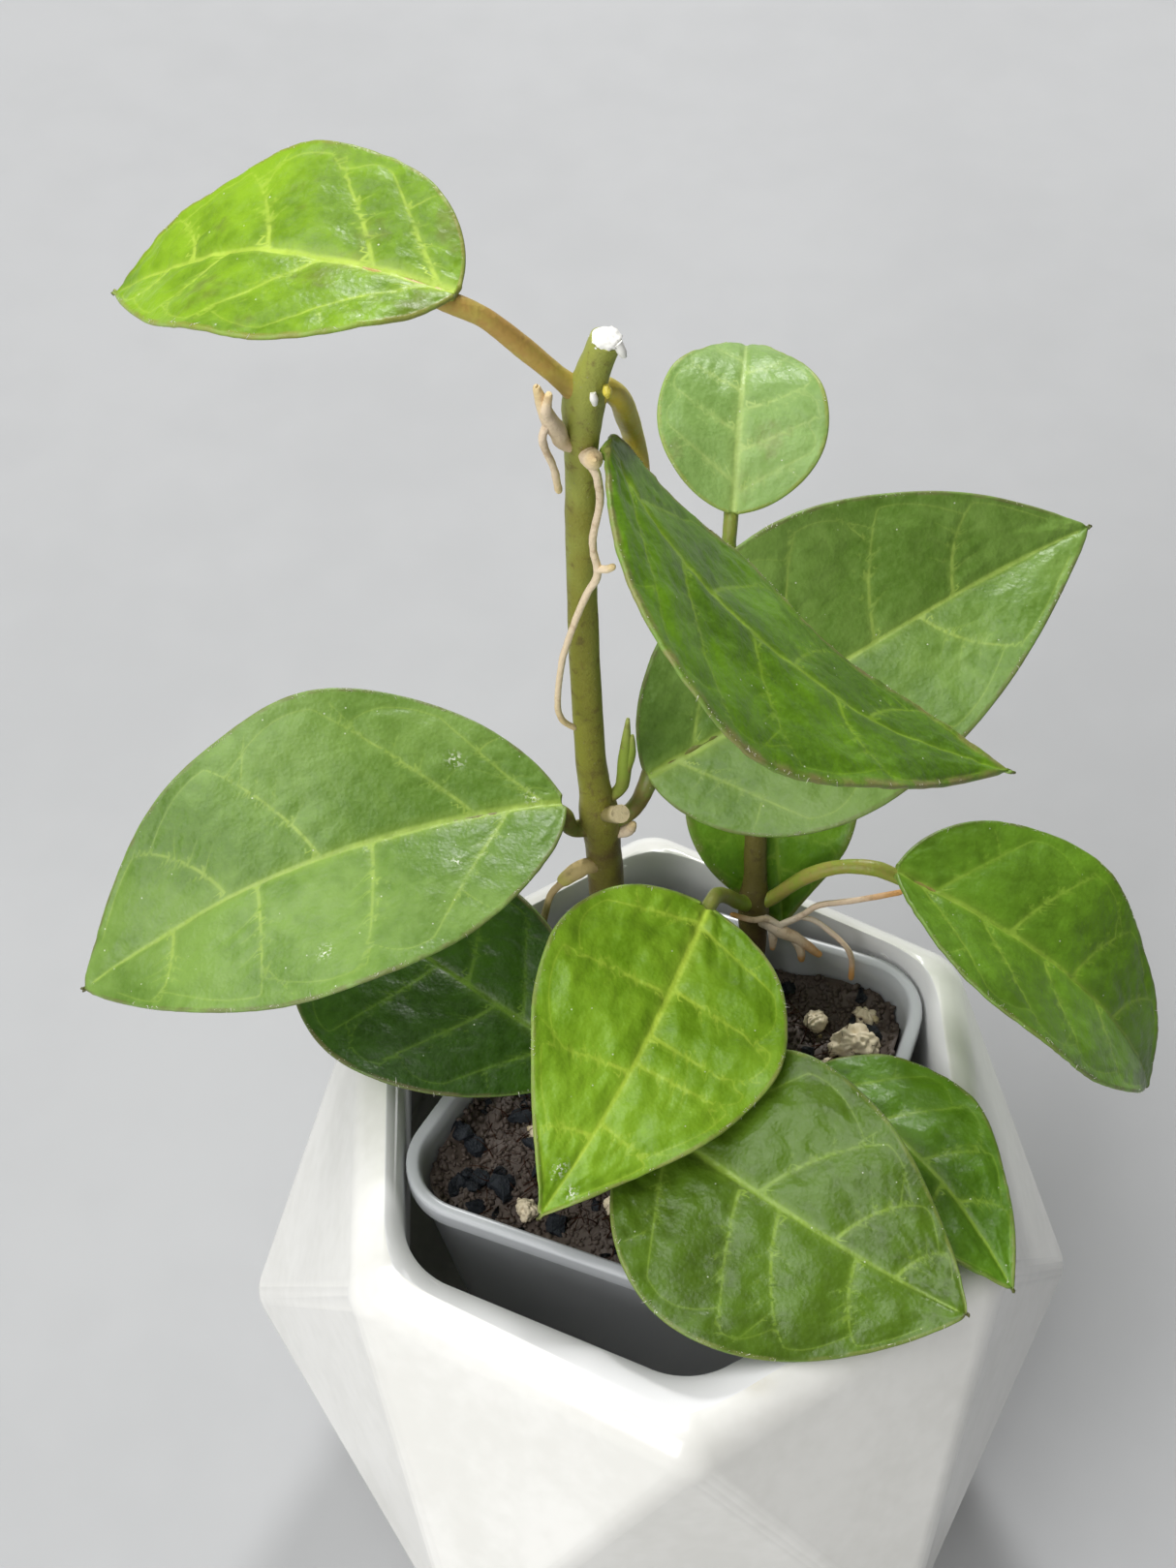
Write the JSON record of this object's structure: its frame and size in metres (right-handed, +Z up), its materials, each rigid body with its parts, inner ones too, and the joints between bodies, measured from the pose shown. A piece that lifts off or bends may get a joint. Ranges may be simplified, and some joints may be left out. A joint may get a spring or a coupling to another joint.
{
  "type": "potted hoya plant",
  "caption": "Wax plant with ovate veined leaves on upright stems, in a small square grow pot set inside a white faceted six-sided ceramic planter.",
  "frame": {"origin": "middle of the planter's flat underside", "axes": "+Z up, -Y to the front, the side that the picture shows; +X to the right"},
  "size_m": [0.1495, 0.1412, 0.2113],
  "materials": {
    "glazed_white": "white gloss glaze",
    "milky_plastic": "thin translucent grey plastic",
    "soil": "loose coir and charcoal mix",
    "pumice": "rough pale pumice",
    "stem": "olive green bark, slightly waxy",
    "leaf": "waxy dark green leaf with lighter veins",
    "leaf_light": "waxy light green leaf with lighter veins",
    "bud": "soft green shoot tissue",
    "root": "dry tan aerial root",
    "dried_sap": "dried white latex"
  },
  "bodies": {
    "root": {"planter": "glazed_white", "grow_pot": "milky_plastic", "soil": "soil", "pumice_1": "pumice", "pumice_2": "pumice", "pumice_3": "pumice", "pumice_4": "pumice", "pumice_5": "pumice", "pumice_6": "pumice", "pumice_7": "pumice", "pumice_8": "pumice", "stem_main": "stem", "stem_rear": "stem", "stem_short": "stem", "leaf_upper_left": "leaf_light", "leaf_upper_right": "leaf", "leaf_lower_left": "leaf", "leaf_lower_right": "leaf", "leaf_rear_round": "leaf_light", "leaf_front": "leaf", "leaf_right": "leaf", "leaf_rear_hanging": "leaf", "leaf_low_left": "leaf", "leaf_low_front": "leaf", "leaf_low_right": "leaf", "shoot_bud": "bud", "pruned_stub": "bud", "aerial_root_left": "root", "aerial_root_long": "root", "root_nub": "root", "stem_foot_root": "root", "rear_stem_roots": "root", "sap_cap": "dried_sap"}
  },
  "joints": []
}
